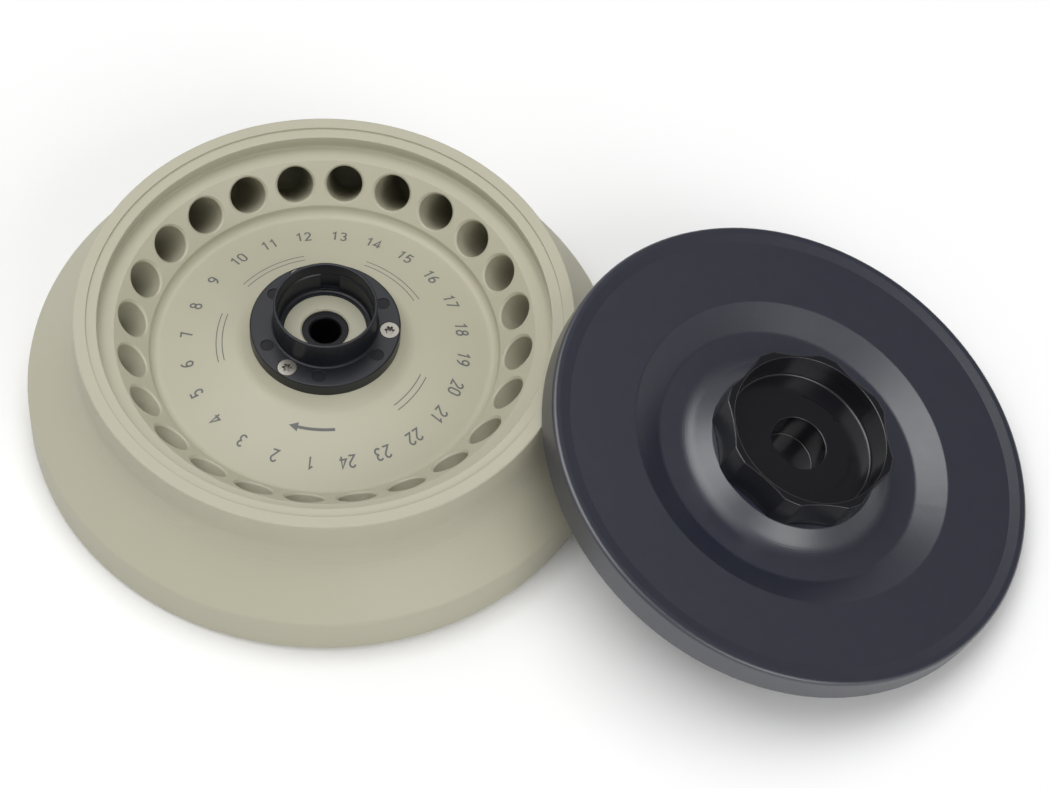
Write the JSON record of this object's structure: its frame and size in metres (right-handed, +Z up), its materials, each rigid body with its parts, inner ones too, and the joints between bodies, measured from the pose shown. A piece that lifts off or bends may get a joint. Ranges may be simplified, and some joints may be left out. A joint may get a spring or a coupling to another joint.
{
  "type": "centrifuge rotor",
  "caption": "Fixed-angle rotor for micro tubes with its round lid taken off and leaning on the rim, a turning lock knob on the lid.",
  "frame": {"origin": "on the rotor's axis, at the base plane it stands on", "axes": "+Z up along the rotor's axis, +X to the right seen by the viewer, towards the leaning lid, +Y away from the viewer"},
  "size_m": [0.3045, 0.1885, 0.0538],
  "materials": {
    "body_metal": "matt anodised, pale champagne",
    "hub_black": "moulded black, fine grain",
    "bush_metal": "turned, black finished",
    "screw_steel": "plain steel",
    "lid_black": "satin black",
    "knob_black": "semi-gloss black",
    "seal_rubber": "matt black rubber",
    "print_grey": "printed dark grey ink",
    "spring_steel": "spring steel"
  },
  "bodies": {
    "rotor": {"rotor_body": "body_metal", "drive_bush": "bush_metal", "lock_ring": "hub_black", "hub_screw_1": "screw_steel", "hub_screw_2": "screw_steel", "hub_screw_3": "screw_steel", "lid_shell": "lid_black", "lid_seal": "seal_rubber", "shaft_seal": "seal_rubber"},
    "knob": {"lock_knob": "knob_black", "knob_clip": "spring_steel", "wave_spring": "spring_steel", "lock_sleeve": "hub_black", "sleeve_clip": "spring_steel"}
  },
  "joints": [
    {"name": "knob_turn", "type": "hinge", "parent": "rotor", "child": "knob", "pos_m": [0.14195, -0.02256, 0.0308], "axis": [0.2946, -0.0355, 0.955], "range_deg": [-45, 0]}
  ]
}
